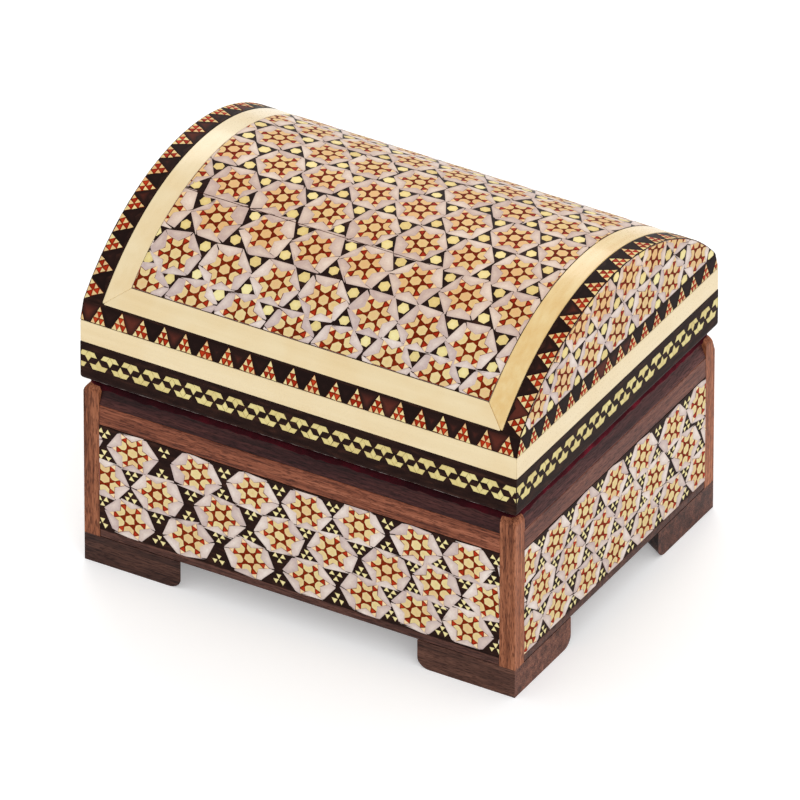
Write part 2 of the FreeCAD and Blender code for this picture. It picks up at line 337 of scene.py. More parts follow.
def ebony(name, glint_height=None):
    """Near-black wood with faint brown streaks, and a painted highlight: pale glint specks along an edge at
    some height.
    """
    look = Look(name, 0.4, specular=0.025)
    streaks = look.noise(look.stretched((0.25, 0.25, 0.9)), 1.1, detail=4)
    colour = look.ramp(streaks, (0.35, (31, 18, 16)), (0.55, (41, 25, 21)), (0.75, (63, 38, 30)))
    # Painted highlight: pale glint specks in a narrow band at the given height.
    if glint_height:
        away = look.math("ABSOLUTE", look.math("SUBTRACT", look.height(), glint_height), 0)
        edge = look.ramp(away, (0.1, WHITE), (0.3, BLACK))
        glint_specks = look.ramp(look.noise(look.stretched((0.5, 0.5, 3)), 1.3), (0.47, BLACK), (0.6, WHITE))
        colour = look.mix(look.mix(1.0, edge, glint_specks, "MULTIPLY"), colour, linear(176, 164, 160))
    look.colour(colour)
    fine = look.noise(look.stretched(), 5, detail=2)
    look.roughness(look.range(fine, 0.3, 0.45))
    look.bump(fine, 0.02, 0.4)
    return look.material


def cream(name, along, dark, light, amber):
    """Pale glossy strip with faint long streaks and amber clouds."""
    look = Look(name, 0.3, specular=0.4)
    long_streaks = look.noise(look.stretched(GRAIN[along]), 0.8)
    clouds = look.noise(look.stretched(), 0.09, detail=2)
    base = look.ramp(long_streaks, (0.35, dark), (0.7, light))
    shade = look.ramp(clouds, (0.38, AMBER_TINT), (0.58, WHITE))
    look.colour(look.mix(amber, base, shade, "MULTIPLY"))
    specks = look.noise(look.stretched(), 3, detail=2)
    look.roughness(look.range(specks, 0.22, 0.36))
    look.bump(specks, 0.02, 0.3)
    look.set(Coat_Weight=0.3, Coat_Roughness=0.12)
    return look.material


def tessera(name, dark, middle, light, roughness, metallic=0.0, fleck=GREYISH, mottle=0.35, specular=0.07):
    """Small inlaid pieces: each has its own tone, with fine flecks and an uneven polish."""
    look = Look(name, roughness, specular, metallic)
    base = look.ramp(look.tone(), (0.05, dark), (0.5, middle), (0.95, light))
    fine = look.noise(look.stretched(), 2.4)
    shade = look.ramp(fine, (0.3, fleck), (0.6, WHITE))
    colour = look.mix(mottle, base, shade, "MULTIPLY")
    aged = look.math("DIVIDE", look.math("SUBTRACT", look.height(), AGED_FROM), AGED_OVER)
    aged = look.ramp(aged, (0.0, BLACK), (1.0, WHITE))
    look.colour(look.mix(aged, colour, look.mix(1.0, colour, AGED_TINT, "MULTIPLY")))
    look.roughness(look.range(fine, roughness - 0.08, roughness + 0.1))
    look.bump(fine, 0.015, 0.5)
    return look.material


def velvet(name, dark, middle, light, sheen):
    """Crimson velvet: short pile with sheen, brushed lighter and darker in patches."""
    look = Look(name, 0.9, specular=0.1)
    brushed = look.noise(look.stretched(), 0.16)
    pile = look.noise(look.stretched(), 7, detail=2)
    base = look.ramp(brushed, (0.3, dark), (0.55, middle), (0.75, light))
    tips = look.ramp(pile, (0.38, PILE_TINT), (0.62, WHITE))
    look.colour(look.mix(0.8, base, tips, "MULTIPLY"))
    look.bump(pile, 0.12, 0.8)
    look.set(Sheen_Weight=sheen, Sheen_Roughness=0.4, Sheen_Tint=linear(210, 60, 84))
    return look.material


def brass():
    """Aged brass of the hinges, dulled brown in patches, with fine brushing."""
    look = Look("brass_aged", 0.35, metallic=1.0)
    tarnish = look.noise(look.stretched(), 0.7, detail=4)
    look.colour(look.ramp(tarnish, (0.3, (128, 92, 46)), (0.5, (186, 146, 76)), (0.7, (214, 178, 104))))
    brushing = look.noise(look.stretched((0.1, 1, 1)), 6, detail=2)
    look.roughness(look.range(brushing, 0.26, 0.5))
    look.bump(brushing, 0.02, 0.4)
    return look.material


# Dark, middle and light colour, roughness, how metallic, tint and strength of the flecks, gloss.
TESSERAE = {
    "gold": ((223, 183, 134), (226, 200, 146), (233, 218, 162), 0.4, 0.05, GREENISH, 0.6),
    "tip": ((236, 202, 150), (242, 214, 168), (247, 228, 188), 0.4, 0.0, ROSY),
    "bead": ((222, 200, 138), (233, 216, 153), (242, 230, 174), 0.38, 0.05, GREENISH, 0.6),
    "brass": ((210, 190, 128), (219, 203, 140), (228, 214, 153), 0.38, 0.1, GREENISH, 0.5),
    "red": ((150, 36, 12), (172, 46, 18), (192, 64, 30), 0.42, 0.0, GREYISH, 0.35, 0.04),
    "bed": ((106, 32, 8), (124, 38, 11), (140, 47, 16), 0.45, 0.0, GREYISH, 0.35, 0.02),
    "shell": ((198, 179, 174), (220, 204, 194), (238, 227, 218), 0.32, 0.0, ROSY, 0.6),
    "dark": ((30, 18, 16), (42, 25, 22), (90, 43, 34), 0.45, 0.0, GREYISH, 0.35, 0.03),
}
tessera_looks = {kind: tessera("inlay_" + kind, *row) for kind, row in TESSERAE.items()}


def paint(material, *names):
    for name in names:
        mesh = nodes[name].data
        mesh.materials.clear()
        mesh.materials.append(material)


def new_object(name, data):
    made = bpy.data.objects.new(name, data)
    scene.collection.objects.link(made)
    return made


# Flat polygons

LEAST_SPREAD = 0.12
LEAST_AREA = 0.05


def signed_area(points):
    return sum(a[0] * b[1] - b[0] * a[1] for a, b in zip(points, points[1:] + points[:1])) / 2


def clipped(points, region):
    """The part of a polygon inside a convex region, both counter-clockwise."""
    for a, b in zip(region, region[1:] + region[:1]):
        edge = (b[0] - a[0], b[1] - a[1])
        kept = []
        for p, q in zip(points, points[1:] + points[:1]):
            p_side = edge[0] * (p[1] - a[1]) - edge[1] * (p[0] - a[0])
            q_side = edge[0] * (q[1] - a[1]) - edge[1] * (q[0] - a[0])
            if p_side >= 0:
                kept.append(p)
            if p_side * q_side < 0:
                kept.append(between(p, q, p_side / (p_side - q_side)))
        points = kept
        if len(points) < 3:
            return []
    return points


def between(start, end, share):
    return (start[0] + (end[0] - start[0]) * share, start[1] + (end[1] - start[1]) * share)


def without_repeats(points, least=0.02):
    kept = []
    for p in points:
        if not kept or math.dist(p, kept[-1]) > least:
            kept.append(p)
    if len(kept) > 1 and math.dist(kept[0], kept[-1]) <= least:
        kept.pop()
    return kept


def shrunk(points, by):
    """A polygon drawn in on every side, or nothing where too little is left."""
    points = without_repeats(points)
    if len(points) < 3:
        return []
    if signed_area(points) < 0:
        points = points[::-1]
    moved = []
    count = len(points)
    for i in range(count):
        before, here, after = points[i - 1], points[i], points[(i + 1) % count]
        first = Vector((here[0] - before[0], here[1] - before[1])).normalized()
        second = Vector((after[0] - here[0], after[1] - here[1])).normalized()
        inward = Vector((-first.y - second.y, first.x + second.x))
        spread = max(inward.length_squared / 2, LEAST_SPREAD)
        moved.append((here[0] + inward.x * by / spread, here[1] + inward.y * by / spread))
    return moved if signed_area(moved) > LEAST_AREA else []


def turned(x, y, angle):
    return (x * math.cos(angle) - y * math.sin(angle), x * math.sin(angle) + y * math.cos(angle))


def hexagon(radius, start=0.0):
    return [turned(radius, 0, start + k * math.pi / 3) for k in range(6)]


# Where flat polygons go on the box: each place function takes u, v and the height above the face


def on_wall(side, distance, lean=0.0, foot=0.0):
    """A face of one side; v is Z, or runs up the slope from foot if it leans."""
    quarter_turns = SIDES.index(side)

    def place(u, v, height):
        outward = distance + height * math.cos(lean) - (v - foot) * math.sin(lean)
        x, y = turned(u, -outward, quarter_turns * math.pi / 2)
        return (x, y, foot + (v - foot) * math.cos(lean) + height * math.sin(lean))

    return place


def on_vault(u, v, height):
    """The top of the vault: u is X, v runs along the arc from the crown to the back."""
    angle = v / vault_radius
    reach = vault_radius + height
    return (u, reach * math.sin(angle), vault_centre + reach * math.cos(angle))


def on_arch(end):
    """The band along one end of the vault: u runs along the arc, v inward from the end's edge."""
    return lambda u, v, height: on_vault(end * (lid_half_length - v), end * u, height)


def rectangle(half, low, high, top_half=None):
    top_half = half if top_half is None else top_half
    return [(-half, low), (half, low), (top_half, high), (-top_half, high)]


class Inlay:
    """The tesserae of one face, drawn flat, cut at the face's edges and laid on it."""

    def __init__(self, name, body, slot, region, place, curved=False):
        self.name, self.body, self.slot = name, body, slot
        self.region, self.place, self.curved = region, place, curved
        self.random = random.Random(name)
        self.vary = self.random.uniform
        self.knife = random.Random(name + "_knife")
        self.cut = {kind: [] for kind in tessera_looks}

    def lay(self, kind, points, tone=None, lift=0.0, seam=SEAM):
        if signed_area(points) < 0:
            points = points[::-1]
        stray = STRAY[kind]

        def astray(value):
            return value + self.knife.uniform(-stray, stray)

        points = shrunk(clipped([(astray(u), astray(v)) for u, v in points], self.region), seam)
        tone = self.random.random() if tone is None else tone
        if points:
            self.cut[kind].append((points, tone, PROUD + lift + self.knife.uniform(-UNEVEN, UNEVEN)))

    def prism(self, mesh, tones, points, tone, top, shade):
        """One tessera: a thin prism set into the ground, its edge painted darker than its middle by a shade:
        painted shade at the edge, painted highlight in the middle.
        """
        rings = [[mesh.verts.new((u, v, height)) for u, v in points] for height in (-SINK, top)]
        for vertex in rings[0] + rings[1]:
            vertex[tones] = tone - shade
        middle = mesh.verts.new([sum(axis) / len(points) for axis in zip(*points)] + [top])
        middle[tones] = tone + shade
        mesh.faces.new(rings[0][::-1])
        for i in range(len(points)):
            mesh.faces.new((rings[1][i - 1], rings[1][i], middle))
            mesh.faces.new((rings[0][i - 1], rings[0][i], rings[1][i], rings[1][i - 1]))

    def build(self):
        for kind, pieces in self.cut.items():
            if not pieces:
                continue
            mesh = bmesh.new()
            tones = mesh.verts.layers.float.new("tone")
            for points, tone, top in pieces:
                # Each piece gets painted shade at its edge and a painted highlight in its middle, gold the
                # other way round.
                self.prism(mesh, tones, points, tone, top, PAINTED_EDGE_SHADE.get(kind, PLAIN_PAINTED_EDGE_SHADE))
            if self.curved and kind in ("shell", "bed"):
                split_along_arc(mesh)
            for vertex in mesh.verts:
                vertex.co = [c * MM for c in self.place(*vertex.co)]
            bmesh.ops.recalc_face_normals(mesh, faces=mesh.faces)
            add_piece(self.name + "_" + kind, mesh, tessera_looks[kind], self.body)


def split_along_arc(mesh):
    """Cuts flat pieces into short steps, so that they bend with the vault."""
    low = min(vertex.co.y for vertex in mesh.verts)
    high = max(vertex.co.y for vertex in mesh.verts)
    for i in range(1, int((high - low) / CURVE_STEP) + 1):
        cut = {"plane_co": (0, low + i * CURVE_STEP, 0), "plane_no": (0, 1, 0)}
        bmesh.ops.bisect_plane(mesh, geom=mesh.verts[:] + mesh.edges[:] + mesh.faces[:], **cut)


def add_piece(name, mesh, material, body, smooth_angle=30):
    """Makes an object from a bmesh and lets it ride on a CAD body."""
    data = bpy.data.meshes.new(name)
    mesh.to_mesh(data)
    mesh.free()
    data.shade_smooth()
    data.set_sharp_from_angle(angle=math.radians(smooth_angle))
    data.materials.append(material)
    piece = new_object(name, data)
    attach(piece, body)
    return piece


# Star sheets


class Star:
    """The place of one star, and the corners where its hexagon meets its neighbours."""

    def __init__(self, vary, u, v):
        self.u = u + vary(-STAR_STRAY, STAR_STRAY)
        self.v = v + vary(-STAR_STRAY, STAR_STRAY)
        self.at = (self.u, self.v)

    def meet(self, neighbours, shape, vary):
        """Finds the six corners, half way to the neighbours, from the right one round."""
        self.corners = []
        twist = math.radians(vary(*shape["twist"]))
        bend = 0
        for k, (u, v) in enumerate(neighbours):
            away = Vector((u - self.u, v - self.v))
            off = math.atan2(away.y, away.x) - k * math.pi / 3
            off = (off + math.pi) % (2 * math.pi) - math.pi
            off = min(max(off, -MOST_BENT), MOST_BENT)
            in_row = k % 3 == 0
            reach = min(away.length / 2, shape["row_reach" if in_row else "far"]) * vary(0.98, 1.03)
            reach = max(reach, shape["reach"] + LEAST_MARGIN)
            edge = shape["row_edge" if in_row else "edge"]
            self.corners.append((k * math.pi / 3 + off + twist, reach, edge))
            bend += off / 6
        self.turn = bend + twist + math.radians(vary(-1, 1) * shape["turn"])

    def corner(self, k, place):
        """A point on the short edge at a corner: -1 is its clockwise end, 0 its middle, 1 the other end."""
        angle, reach, edge = self.corners[k % 6]
        x, y = turned(reach, place * edge / 2, angle)
        return (self.u + x, self.v + y)


def lay_star(inlay, star, shape):
    """One six-pointed star of brass and red pieces in a hexagon of six shell slips."""
    reach, squeeze = shape["reach"], shape["squeeze"]
    unit = reach / (2 * SQRT3)
    start, end, most = shape["yellowed"]
    yellowed = most * min(max((star.v - start) / (end - start), 0), 1)

    def spot(x, y, sector=0):
        x, y = turned(x, y, star.turn + sector * math.pi / 3)
        return (star.u + x, star.v + y * squeeze)

    def put(kind, points, sector, lift=TESSERA_LIFT, seam=SEAM):
        tone = inlay.vary(*shape["tones"]) - yellowed
        inlay.lay(kind, [spot(x, y, sector) for x, y in points], tone, lift, seam)

    inner, middle, outer = SQRT3 / 2 * unit, SQRT3 * unit, 1.5 * SQRT3 * unit
    half = unit / 2
    tips = hexagon(reach)
    notches = hexagon(2 * unit, math.pi / 6)
    put("bed", [point for pair in zip(tips, notches) for point in pair], 0, lift=0.0, seam=0.03)
    put("gold", hexagon(unit, math.pi / 6), 0, seam=GOLD_SEAM)
    shoulder = (outer + PETAL_OVERLAP, half + PETAL_OVERLAP / SQRT3)
    far_shoulder = turned(shoulder[0], -shoulder[1], math.pi / 3)
    notch = turned(2 * unit + PETAL_OVERLAP * 2 / SQRT3, 0, math.pi / 6)
    bulge = ((inner + middle) / 2 - PETAL_BULGE / 2, half / 2 - PETAL_BULGE * SQRT3 / 2)
    far_bulge = turned(bulge[0], -bulge[1], math.pi / 3)
    petal = [(inner, half), bulge, (middle, 0), shoulder, notch, far_shoulder, (inner, 3 * half), far_bulge]
    for sector in range(6):
        put("bed", [(inner, -half), (middle, 0), (inner, half)], sector)
        put("red", [(middle, 0), (outer, -half), (outer, half)], sector)
        put("tip", [(outer, -half), (reach, 0), (outer, half)], sector, seam=0.06)
        put("gold", petal, sector, seam=GOLD_SEAM)
    for k in range(6):
        slip = [spot(*tips[(k + 1) % 6]), spot(*notches[k]), spot(*tips[k])]
        slip += [between(star.corner(k, 0), star.corner(k, 1), shape["gap"]), star.corner(k, 1)]
        slip += [star.corner(k + 1, -1), between(star.corner(k + 1, 0), star.corner(k + 1, -1), shape["gap"])]
        inlay.lay("shell", slip, inlay.vary(*shape["shell"]), SHELL_LIFT, seam=0.04)
    inlay.lay("shell", [spot(*tip) for tip in tips], tone=0.2, lift=-SHELL_LIFT, seam=0.0)


def lay_bead(inlay, centre, up):
    """A single brass hexagon in a black triangle."""
    radius = inlay.vary(1.2, 1.4)
    start = inlay.vary(0, math.pi / 3)
    inlay.lay("bead", [(centre[0] + x, centre[1] + y) for x, y in hexagon(radius, start)])


def lay_cluster(inlay, centre, up):
    """Three small brass triangles in a black triangle, turned against it."""
    height = CLUSTER_SIDE * SQRT3 / 2
    for x, y in CLUSTER_PLACES:
        x += centre[0] + inlay.vary(-0.1, 0.1)
        y = centre[1] + up * y + inlay.vary(-0.08, 0.08)
        low, high = y - up * height / 3, y + up * height * 2 / 3
        points = [(x - CLUSTER_SIDE / 2, low), (x + CLUSTER_SIDE / 2, low), (x, high)]
        inlay.lay("bead", points, tone=0.8, seam=0.03)


def beside(row, u, pitch, level):
    """The stars of a row to the left and right of a place, or where they would lie."""
    left = [star.at for star in row if star.u <= u]
    right = [star.at for star in row if star.u > u]
    return (left[-1] if left else (u - pitch / 2, level), right[0] if right else (u + pitch / 2, level))


def lay_stars(inlay, rows, shape, fill):
    """Rows of stars, lowest first, and what lies in the black triangles between them."""
    spacing = (rows[-1][0] - rows[0][0]) / (len(rows) - 1)
    placed = [[Star(inlay.vary, u, level) for u in centres] for level, centres in rows]
    for i, row in enumerate(placed):
        pitch = (row[-1].u - row[0].u) / (len(row) - 1)
        below = placed[i - 1] if i > 0 else []
        above = placed[i + 1] if i + 1 < len(placed) else []
        for j, star in enumerate(row):
            left = row[j - 1].at if j > 0 else (star.u - pitch, star.v)
            right = row[j + 1].at if j + 1 < len(row) else (star.u + pitch, star.v)
            upper_left, upper_right = beside(above, star.u, pitch, star.v + spacing)
            lower_left, lower_right = beside(below, star.u, pitch, star.v - spacing)
            star.meet((right, upper_right, upper_left, left, lower_left, lower_right), shape, inlay.vary)
            lay_star(inlay, star, shape)
        for left, right in zip(row, row[1:]):
            middle = (left.u + right.u) / 2
            for up, next_row in ((1, above), (-1, below)):
                level = (left.v + right.v) / 2 + up * spacing
                near = [star for star in next_row if left.u < star.u <= right.u]
                third = near[0].at if near else (middle, level)
                fill(inlay, ((2 * middle + third[0]) / 3, (left.v + right.v + third[1]) / 3), up)


def row_of(first, pitch, half):
    """Centres of a regular row that runs past both ends of its face."""
    before = math.ceil((first + half) / pitch)
    count = before + math.ceil((half - first) / pitch) + 1
    return [first + pitch * (i - before) for i in range(count)]


def extended(centres):
    """A measured row with one more star past each end."""
    pitch = (centres[-1] - centres[0]) / (len(centres) - 1)
    return [centres[0] - pitch, *centres, centres[-1] + pitch]


def star_panels():
    long_panel = (panel_high.x, case_half_width, FRONT_STARS)
    short_panel = (end_panel_high.y, case_half_length, END_STARS)
    for side in SIDES:
        half, distance, measured = long_panel if side in LONG_SIDES else short_panel
        region = rectangle(half, panel_low.z, panel_high.z)
        inlay = Inlay("stars_" + side, "base", "star_inlay", region, on_wall(side, distance))
        rows = [(level, extended(centres)) for level, centres in reversed(measured)]
        lay_stars(inlay, rows, PANEL_STAR, lay_cluster)
        inlay.build()


def star_vault():
    """The sheet on the vault, with its open joint."""
    region = rectangle(vault_high.x, -field_half_arc, field_half_arc)
    inlay = Inlay("stars_vault", "lid", "star_inlay", region, on_vault, curved=True)
    rows = [(level, row_of(first, pitch, vault_high.x)) for level, first, pitch in VAULT_STARS]
    lay_stars(inlay, rows, VAULT_STAR, lay_bead)
    (front, back), (end_front, end_back) = JOINT_EDGES
    joint = [(-vault_high.x, front), (JOINT_END, end_front), (JOINT_END, end_back), (-vault_high.x, back)]
    inlay.lay("dark", joint, tone=0.8, lift=0.02, seam=0)
    inlay.build()


def star_tympana():
    radius = vault_radius - TYMPANUM_EDGE
    half = math.asin((vault_half_span - TYMPANUM_EDGE) / radius)
    arc = [half - 2 * half * i / TYMPANUM_STEPS for i in range(TYMPANUM_STEPS + 1)]
    region = [(radius * math.sin(a), vault_centre + radius * math.cos(a)) for a in arc]
    rows = [(level, row_of(first, pitch, shell_high.y)) for level, first, pitch in TYMPANUM_STARS]
    for side in ("right", "left"):
        inlay = Inlay("stars_tympanum_" + side, "lid", "star_inlay", region, on_wall(side, lid_half_length))
        lay_stars(inlay, rows, VAULT_STAR, lay_bead)
        inlay.build()


# Bands

# Triangles: first centre and pitch of a row, then their sizes.
LONG_TRIANGLES = (-1.65, 4.955)
SHORT_TRIANGLES = (0.7, 4.94)
TRIANGLE_BASE = 3.85
ARCH_COUNT = 18
ARCH_BASE = 4.5
BAND_EDGE = 0.1
TRIANGLE_MARGIN = 0.4
TRIANGLE_FOOT = 0.12
DARK_FOOT = 0.2
DARK_GAP = 0.1
MOSTLY_DARK = 2.2
# Chain: first link and pitch of a row, then the links.
LONG_CHAIN = (0.4, 4.89)
SHORT_CHAIN = (0.3, 4.98)
CHAIN_EDGE = 0.15
CHAIN_SHIFT = 0.75
LINK_SIDE = 1.4
LINK_FOOT = 0.62
LINK_RISE = 1.36


def lay_triangle(inlay, centre, foot, base, height):
    """A triangle of three courses on a red bed: brass points up, red points down."""
    course = height / 3
    step = base / 3
    inlay.lay("bed", [(centre - base / 2, foot), (centre + base / 2, foot), (centre, foot + height)])
    for row in range(3):
        low = foot + row * course
        high = low + course
        for i in range(3 - row):
            x = centre + (i - (2 - row) / 2) * step
            points = [(x - step / 2, low), (x + step / 2, low), (x, high)]
            inlay.lay("gold", points, lift=TESSERA_LIFT, seam=0.1)
        for i in range(2 - row):
            x = centre + (i - (1 - row) / 2) * step
            inlay.lay("red", [(x, low), (x + step / 2, high), (x - step / 2, high)], lift=TESSERA_LIFT)


def triangle_row(inlay, centres, foot, band_height, base):
    """Triangles along a band, with dark or mahogany pieces between them."""
    height = band_height - TRIANGLE_MARGIN
    for centre in centres:
        width = base * inlay.vary(0.94, 1.03)
        centre += inlay.vary(-0.1, 0.1)
        lay_triangle(inlay, centre, foot + TRIANGLE_FOOT, width, height)
    low, high = foot + DARK_FOOT, foot + height
    for left, right in zip(centres, centres[1:]):
        middle = (left + right) / 2
        gap = (right - left - base) / 2
        reach = (right - left) / 2
        points = [(middle - gap, low), (middle + gap, low)]
        points += [(middle + reach - DARK_GAP, high), (middle - reach + DARK_GAP, high)]
        inlay.lay("dark", points, inlay.random.random() ** MOSTLY_DARK)


def triangle_bands():
    slope = (springing - triangle_low.z) / math.cos(band_lean)
    foot = triangle_low.z
    for side in SIDES:
        if side in LONG_SIDES:
            region = rectangle(lid_half_length - BAND_EDGE, foot, foot + slope)
            place = on_wall(side, lid_half_width, band_lean, foot)
            centres = row_of(*LONG_TRIANGLES, lid_half_length)
            band_height = slope
        else:
            region = rectangle(lid_half_width - BAND_EDGE, foot, springing, vault_half_span - BAND_EDGE)
            place = on_wall(side, lid_half_length)
            centres = row_of(*SHORT_TRIANGLES, lid_half_width)
            band_height = springing - foot
        inlay = Inlay("triangles_" + side, "lid", "ebony_band", region, place)
        triangle_row(inlay, centres, foot, band_height, TRIANGLE_BASE)
        inlay.build()


def arch_bands():
    width = arch_high.x - arch_low.x
    pitch = 2 * vault_half_arc / ARCH_COUNT
    centres = [(i + 0.5) * pitch - vault_half_arc for i in range(ARCH_COUNT)]
    region = rectangle(vault_half_arc, 0, width)
    for end, side in ((1, "right"), (-1, "left")):
        inlay = Inlay("triangles_arch_" + side, "lid", "ebony_band", region, on_arch(end))
        triangle_row(inlay, centres, 0, width, ARCH_BASE)
        inlay.build()


def lay_link(inlay, centre, level, up):
    """Three brass lozenges that meet at one point: half of a six-pointed star."""
    side = LINK_SIDE
    height = side * SQRT3 / 2
    lozenges = (
        [(0, 0), (-side, 0), (-1.5 * side, -height), (-side / 2, -height)],
        [(0, 0), (side / 2, -height), (1.5 * side, -height), (side, 0)],
        [(0, 0), (-side / 2, -height), (0, -2 * height), (side / 2, -height)],
    )
    crown = level + up * LINK_FOOT + up * LINK_RISE
    tone = inlay.vary(0.25, 0.75)
    for lozenge in lozenges:
        points = [(centre + x, crown + up * y) for x, y in lozenge]
        inlay.lay("brass", points, tone + inlay.vary(-0.15, 0.15), seam=0.015)


def chain_bands():
    """Two rows of lozenges that link like a chain, along the lid's lower edge."""
    level = (chain_low.z + chain_high.z) / 2 + CHAIN_SHIFT
    long_band = (lid_half_length, lid_half_width, *LONG_CHAIN)
    short_band = (lid_half_width, lid_half_length, *SHORT_CHAIN)
    for side in SIDES:
        half, distance, first, pitch = long_band if side in LONG_SIDES else short_band
        region = rectangle(half - CHAIN_EDGE, chain_low.z, chain_high.z)
        inlay = Inlay("chain_" + side, "lid", "ebony_band", region, on_wall(side, distance))
        for centre in row_of(first, pitch, half):
            shift = inlay.vary(-0.12, 0.12)
            lay_link(inlay, centre + shift, level, 1)
            lay_link(inlay, centre + pitch / 2 + shift, level, -1)
        inlay.build()


# Wood, cream and brass of the CAD nodes

POST_BROWNS = ((94, 50, 32), (146, 88, 60), (176, 114, 82))
FOOT_BROWNS = ((52, 31, 25), (87, 57, 47), (114, 78, 64))
# Painted shade: the three feet other than the front right one are painted darker.
SHADED_FOOT_BROWNS = ((41, 26, 22), (69, 44, 37), (92, 61, 50))
RAIL_BROWNS = {
    "x": ((84, 42, 30), (134, 76, 54), (166, 102, 76)),
    "y": ((70, 38, 33), (108, 65, 54), (134, 86, 70)),
}
# Painted light: the rims along Y, on the box's ends, are painted lighter than those along X.
RIM_PAINTED_LIGHT_BROWNS = {
    "x": ((36, 18, 18), (58, 30, 30), (82, 46, 42)),
    "y": ((46, 24, 25), (74, 42, 41), (100, 60, 56)),
}
FLOOR_BROWNS = ((54, 33, 29), (86, 55, 47), (108, 72, 61))
CORE_BROWNS = ((48, 29, 26), (74, 46, 40), (96, 62, 52))
PALE_CREAM = ((231, 210, 166), (235, 215, 173))
GOLDEN_CREAM = ((226, 192, 128), (233, 206, 148))
# How much paler the faces that look along the box are painted: painted light.
FOOT_END_FACE_PAINTED_LIGHT = (1.8, 1.6, 1.5, 1)
POST_END_FACE_PAINTED_LIGHT = (1.22, 1.2, 1.18, 1)
# How far edges are rounded, by a part of the nodes' names.
ROUNDING = {
    "foot_": 0.9, "post_": 0.35, "case_rail_": 0.3, "floor_board": 0.3, "_wall": 0.3, "cream_strip_": 0.25,
    "dome_border_": 0.25, "chain_band_": 0.12, "triangle_band_": 0.12, "arch_band_": 0.12, "tympanum_": 0.12,
}


def dress_nodes():
    for i, corner in enumerate(CORNERS):
        # Painted shade on every foot but the near one.
        browns = FOOT_BROWNS if corner == "front_right" else SHADED_FOOT_BROWNS
        post = wood("walnut_post_" + corner, "z", POST_BROWNS, seed=i + 1, ends=POST_END_FACE_PAINTED_LIGHT)
        paint(post, "post_" + corner)
        paint(wood("walnut_foot_" + corner, "x", browns, seed=i + 11, ends=FOOT_END_FACE_PAINTED_LIGHT), "foot_" + corner)
    ground = ebony("ebony")
    # The chain bands get a painted highlight: pale glint specks just above their lower edge.
    glinting_ebony = ebony("ebony_painted_glint", glint_height=chain_low.z + 0.35)
    for i, side in enumerate(SIDES):
        along = "x" if side in LONG_SIDES else "y"
        border = GOLDEN_CREAM if side == "right" else PALE_CREAM
        paint(wood("walnut_rail_" + side, along, RAIL_BROWNS[along], seed=i + 21), "case_rail_" + side)
        paint(wood("walnut_rim_" + side, along, RIM_PAINTED_LIGHT_BROWNS[along], seed=i + 31), side + "_wall")
        paint(cream("cream_strip_" + side, along, *PALE_CREAM, amber=0.3), "cream_strip_" + side)
        paint(cream("cream_border_" + side, along, *border, amber=0.55), "dome_border_" + side)
        paint(ground, "inlay_panel_" + side, "triangle_band_" + side)
        paint(glinting_ebony, "chain_band_" + side)
    paint(wood("walnut_floor", "x", FLOOR_BROWNS, seed=41), "floor_board")
    core = wood("stained_core", "x", CORE_BROWNS, seed=42, roughness=0.55)
    paint(core, "lid_rail_front", "lid_rail_back", "dome_shell")
    paint(ground, "dome_inlay")
    metal = brass()
    for side in ("left", "right"):
        paint(core, "lid_end_" + side)
        paint(ground, "tympanum_" + side, "arch_band_" + side)
        paint(metal, "hinge_base_leaf_" + side, "hinge_lid_leaf_" + side, "hinge_pin_" + side)
    paint(metal, "base_hinge_brads", "lid_hinge_brads")


def soften(node, width):
    """Rounds the sharp edges of a CAD node slightly."""
    weld = node.modifiers.new("weld", "WELD")
    weld.merge_threshold = 0.001 * MM
    bevel = node.modifiers.new("soft_edges", "BEVEL")
    bevel.width = width * MM
    bevel.segments = 2
    bevel.limit_method = "ANGLE"
    bevel.angle_limit = math.radians(35)
    node.modifiers.new("even_shading", "WEIGHTED_NORMAL")


def soften_nodes():
    for name, node in nodes.items():
        for part, width in ROUNDING.items():
            if part in name:
                soften(node, width)


# Velvet

VELVET_THICKNESS = 0.45
VELVET_OFFSET = 0.3
# The case lining's section: on the wall, over the rim (out and up), down its slope, and over a post.
LINING_FOOT = 0.1
ROLL_START = 0.8
WALL_STEPS = 6
RIM_ROLL = ((-0.22, -0.2), (0.0, 0.15), (0.4, 0.3), (2.0, 0.32), (3.5, 0.3))
FOLD_DROPS = (0.1, 0.35, 0.6, 0.85, 1.1)
OFF_SLOPE = (0.94, 0.35)
POST_FOLD = ((4.05, 0.08), (4.3, 0.15), (4.5, 0.24), (4.7, 0.36), (4.85, 0.5))
FOLD_START = 3.6
END_FOLD_START = 3.4
BACK_REACH = 3.75
BACK_GAP = 0.05
# Its corners, its cuts round the hinge leaves, and how much velvet ruffles.
CORNER_RUN = 1.2
CORNER_RADIUS = 0.4
CORNER_GROWTH = 3.1
CORNER_SHARES = (0.35, 0.7)
POST_SHARE = 0.78
HINGE_GAP = 0.2
HINGE_CUT_START = 0.4
RUFFLE = 0.08
LOW_EDGE_RUFFLE = 0.5
LOW_EDGE = 0.7
LID_RUFFLE = 0.1


def evenly(half, steps):
    return [half * i / steps for i in range(-steps, steps + 1)]


def stitched(columns, closed=False):
    """A sheet from columns of points in millimetres, joined to their neighbours."""
    mesh = bmesh.new()
    rows = [[mesh.verts.new([c * MM for c in point]) for point in column] for column in columns]
    pairs = list(zip(rows, rows[1:])) + ([(rows[-1], rows[0])] if closed else [])
    for first, second in pairs:
        for i in range(len(first) - 1):
            mesh.faces.new((first[i], second[i], second[i + 1], first[i + 1]))
    return mesh


